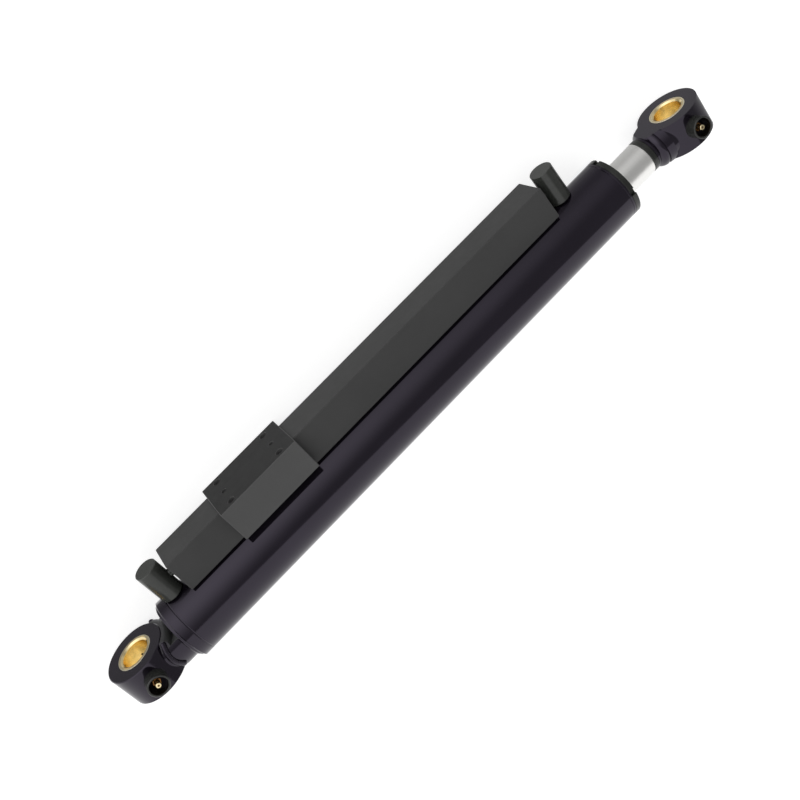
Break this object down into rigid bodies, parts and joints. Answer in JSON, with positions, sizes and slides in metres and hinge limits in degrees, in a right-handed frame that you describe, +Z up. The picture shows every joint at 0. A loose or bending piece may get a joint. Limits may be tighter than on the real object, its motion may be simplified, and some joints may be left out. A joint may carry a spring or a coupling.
{
  "type": "hydraulic cylinder",
  "caption": "Double-acting hydraulic cylinder with bushed eyes, a chromed rod, and an oil conduit bar that carries a valve mounting block.",
  "frame": {"origin": "centre of the base eye's bore", "axes": "+X along the cylinder from the base eye to the rod eye, +Y along the eye bores towards the side that carries the valve block, +Z up, the side of the grease nipples"},
  "size_m": [1.0876, 0.143, 0.1055],
  "materials": {
    "barrel_paint": "satin black enamel",
    "bar_paint": "satin dark grey enamel",
    "dark_steel": "blackened machined steel",
    "chrome_rod": "ground and polished hard chrome",
    "bronze": "machined bronze",
    "nipple_brass": "plated brass",
    "weld": "painted weld bead",
    "bare_steel": "machined steel",
    "gland_iron": "blackened turned iron",
    "seal_rubber": "matte nitrile",
    "seal_polyurethane": "smooth polyurethane",
    "guide_plastic": "filled PTFE",
    "spring_steel": "spring wire"
  },
  "bodies": {
    "barrel": {"barrel_tube": "barrel_paint", "base_cap": "barrel_paint", "base_cap_weld": "weld", "base_eye": "barrel_paint", "base_eye_weld": "weld", "base_bush": "bronze", "base_nipple_guard": "dark_steel", "base_grease_nipple": "nipple_brass", "base_port_boss": "dark_steel", "head_port_boss": "dark_steel", "boss_welds": "weld", "base_transfer_tube": "dark_steel", "head_transfer_tube": "dark_steel", "transfer_tube_seals": "seal_rubber", "base_conduit_bar": "bar_paint", "valve_block": "bar_paint", "head_conduit_bar": "bar_paint", "conduit_bar_welds": "weld", "gland_lock_ring": "barrel_paint", "gland": "gland_iron", "gland_guide_rings": "guide_plastic", "buffer_seal": "seal_polyurethane", "rod_seal": "seal_polyurethane", "rod_wiper": "seal_rubber", "gland_oring": "seal_rubber", "gland_backup_ring": "guide_plastic", "base_nipple_spring": "spring_steel"},
    "piston_rings": {"piston_guide_rings": "guide_plastic", "piston_seal": "guide_plastic", "piston_seal_energiser": "seal_rubber"},
    "rod": {"piston_rod": "chrome_rod", "rod_end_ring": "dark_steel", "rod_eye": "barrel_paint", "rod_bush": "bronze", "rod_nipple_guard": "dark_steel", "rod_grease_nipple": "nipple_brass", "piston": "bare_steel", "piston_bore_oring": "seal_rubber", "piston_nut": "bare_steel", "nut_set_screw": "bare_steel", "stop_tube": "bare_steel", "rod_nipple_spring": "spring_steel"},
    "base_nipple_ball": {"base_nipple_ball": "spring_steel"},
    "rod_nipple_ball": {"rod_nipple_ball": "spring_steel"}
  },
  "joints": [
    {"name": "rod_slide", "type": "slide", "parent": "barrel", "child": "piston_rings", "axis": [1, 0, 0], "range_m": [0, 0.64]},
    {"name": "rod_turn", "type": "hinge", "parent": "piston_rings", "child": "rod", "pos_m": [0.5, 0, 0], "axis": [1, 0, 0], "continuous": true},
    {"name": "base_nipple_valve", "type": "slide", "parent": "barrel", "child": "base_nipple_ball", "axis": [0, 0, -1], "range_m": [0, 0.001], "stiffness_N_per_m": 200, "springref_m": -0.002, "deforming": ["base_nipple_spring"]},
    {"name": "rod_nipple_valve", "type": "slide", "parent": "rod", "child": "rod_nipple_ball", "axis": [0, 0, -1], "range_m": [0, 0.001], "stiffness_N_per_m": 200, "springref_m": -0.002, "deforming": ["rod_nipple_spring"]}
  ]
}
